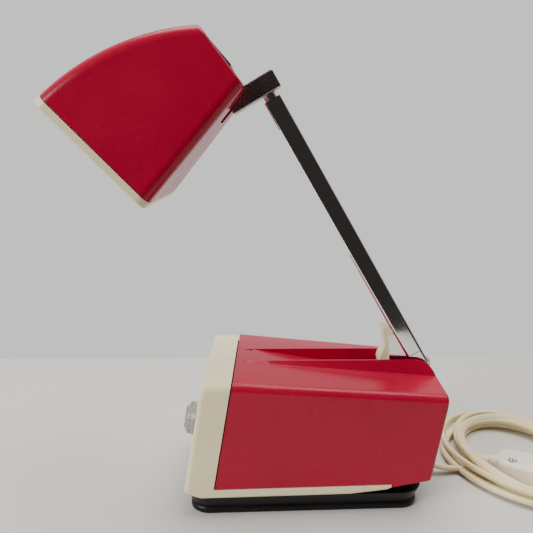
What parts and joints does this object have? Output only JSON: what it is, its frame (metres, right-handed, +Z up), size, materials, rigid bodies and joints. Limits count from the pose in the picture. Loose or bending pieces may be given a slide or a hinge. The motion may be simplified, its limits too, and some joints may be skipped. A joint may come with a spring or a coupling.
{
  "type": "folding desk lamp",
  "caption": "Folding desk lamp with a red and cream box base, one chrome arm hinged at its rear, and a red box head on a turning and tilting link",
  "frame": {"origin": "middle of the foot's underside, on the plane that the lamp stands on", "axes": "+Z up, +X towards the back of the lamp where the cord leaves, -Y towards the side with the switch knob"},
  "size_m": [0.3522, 0.1308, 0.2865],
  "materials": {
    "red_plastic": "glossy moulded plastic, saturated red",
    "cream_plastic": "satin moulded plastic, warm cream",
    "rim_plastic": "satin moulded plastic, pale cream",
    "black_plastic": "black moulded plastic, slightly worn",
    "grey_plastic": "pale grey moulded plastic",
    "dark_insulation": "brown-black insulating plastic",
    "chrome": "bright chrome plate",
    "gunmetal": "dark polished metal",
    "steel": "zinc plated steel",
    "core_iron": "stacked iron sheets",
    "winding": "varnished copper winding",
    "rubber": "soft black rubber",
    "reflector_metal": "polished aluminium",
    "bulb_metal": "nickel plated brass",
    "bulb_glass": "clear thin glass",
    "cord_plastic": "ivory flexible plastic",
    "plug_plastic": "white moulded plastic"
  },
  "bodies": {
    "base": {"base_cover": "red_plastic", "front_panel": "cream_plastic", "seam_strip": "black_plastic", "foot_plinth": "black_plastic", "rubber_feet": "rubber", "base_screws": "steel", "transformer_core": "core_iron", "transformer_coil": "winding", "transformer_strap": "steel", "terminal_block": "dark_insulation", "hinge_bracket": "steel", "hinge_bracket_screws": "steel", "arm_pivot_pin": "steel", "friction_washers": "dark_insulation", "switch_body": "dark_insulation", "switch_nut": "steel", "cord_gland": "black_plastic", "cord": "cord_plastic", "cord_hank": "cord_plastic", "cord_plug_lead": "cord_plastic", "plug_body": "plug_plastic", "plug_pins": "bulb_metal", "plug_screw": "steel"},
    "knob": {"switch_shaft": "steel", "switch_knob": "grey_plastic"},
    "arm": {"arm_tube": "chrome", "arm_root_block": "cream_plastic", "arm_rivets": "steel", "arm_lead": "cord_plastic", "arm_end_bush": "dark_insulation"},
    "link": {"neck_stem": "chrome", "neck_nut": "steel", "head_link": "gunmetal"},
    "head": {"head_shell": "red_plastic", "head_rim": "rim_plastic", "vent_grille": "black_plastic", "head_hinge": "steel", "head_hinge_screws": "steel", "head_pin": "steel", "head_washers": "dark_insulation", "reflector": "reflector_metal", "lamp_socket": "dark_insulation", "socket_bracket": "steel", "bulb_cap": "bulb_metal", "bulb_glass": "bulb_glass"}
  },
  "joints": [
    {"name": "knob_turn", "type": "hinge", "parent": "base", "child": "knob", "pos_m": [-0.06421, -0.032, 0.0575], "axis": [-0.9848, 0, 0.1736], "range_deg": [0, 90]},
    {"name": "arm_fold", "type": "hinge", "parent": "base", "child": "arm", "pos_m": [0.079, 0, 0.074], "axis": [0, -1, 0], "range_deg": [-20, 51.8]},
    {"name": "head_swivel", "type": "hinge", "parent": "arm", "child": "link", "pos_m": [-0.01696, 0, 0.25021], "axis": [-0.4955, 0, 0.8686], "range_deg": [-170, 170]},
    {"name": "head_tilt", "type": "hinge", "parent": "link", "child": "head", "pos_m": [-0.04366, 0, 0.25113], "axis": [0, -1, 0], "range_deg": [-15, 69]}
  ]
}
